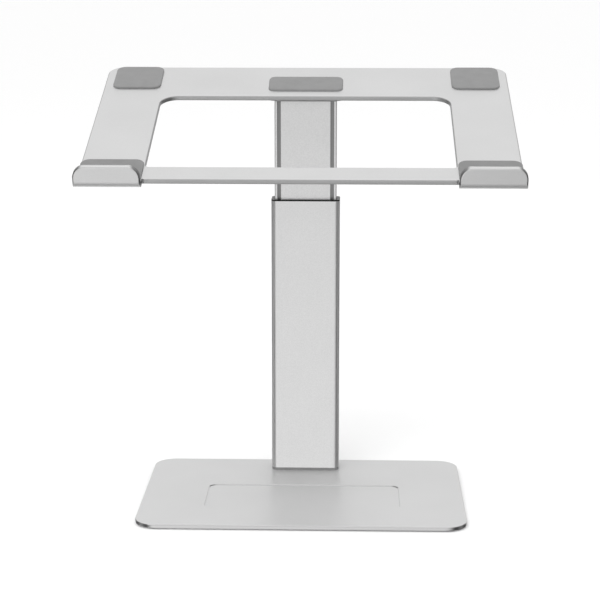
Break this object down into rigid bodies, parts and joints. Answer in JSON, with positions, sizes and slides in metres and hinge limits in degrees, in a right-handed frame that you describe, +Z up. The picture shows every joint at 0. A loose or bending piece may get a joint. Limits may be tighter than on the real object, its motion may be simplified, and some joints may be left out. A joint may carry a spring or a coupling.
{
  "type": "laptop stand",
  "caption": "Height-adjustable laptop stand: flat base plate, telescopic rectangular column and a sloping open tray with turned-up front lips and rubber pads.",
  "frame": {"origin": "centre of the stand's footprint at desk level", "axes": "+X to the user's right, -Y towards the user, +Z up along the column"},
  "size_m": [0.3228, 0.2058, 0.3303],
  "materials": {
    "base_metal": "steel plate with a fine silver powder coat",
    "sleeve_metal": "bead-blasted, clear anodised",
    "tube_metal": "bead-blasted, clear anodised",
    "tray_metal": "bead-blasted, clear anodised",
    "cast_metal": "as cast, tumbled",
    "screw_steel": "zinc-nickel plated, satin",
    "gasket_plastic": "dark grey, matt",
    "bushing_plastic": "black acetal, satin",
    "glide_plastic": "natural nylon",
    "pad_rubber": "mid-grey silicone, matt",
    "foot_rubber": "black rubber, matt"
  },
  "bodies": {
    "base": {"base_plate": "base_metal", "foot_front_left": "foot_rubber", "foot_front_right": "foot_rubber", "foot_rear_left": "foot_rubber", "foot_rear_right": "foot_rubber", "column_foot": "cast_metal", "column_screws": "screw_steel", "foot_gasket": "gasket_plastic", "outer_sleeve": "sleeve_metal", "sleeve_screws": "screw_steel", "bottom_buffer": "foot_rubber", "upper_bushing": "bushing_plastic", "brake_shoe": "glide_plastic", "brake_nut_plate": "screw_steel", "tension_screws": "screw_steel"},
    "riser": {"inner_tube": "tube_metal", "lower_glide": "glide_plastic", "glide_pin": "screw_steel", "head_bracket": "cast_metal", "bracket_screws": "screw_steel", "tray_frame": "tray_metal", "tray_screws": "screw_steel", "left_lip_liner": "pad_rubber", "right_lip_liner": "pad_rubber", "rear_left_pad": "pad_rubber", "rear_right_pad": "pad_rubber", "centre_pad": "pad_rubber"}
  },
  "joints": [
    {"name": "height_slide", "type": "slide", "parent": "base", "child": "riser", "axis": [0, 0, 1], "range_m": [-0.074, 0.046]}
  ]
}
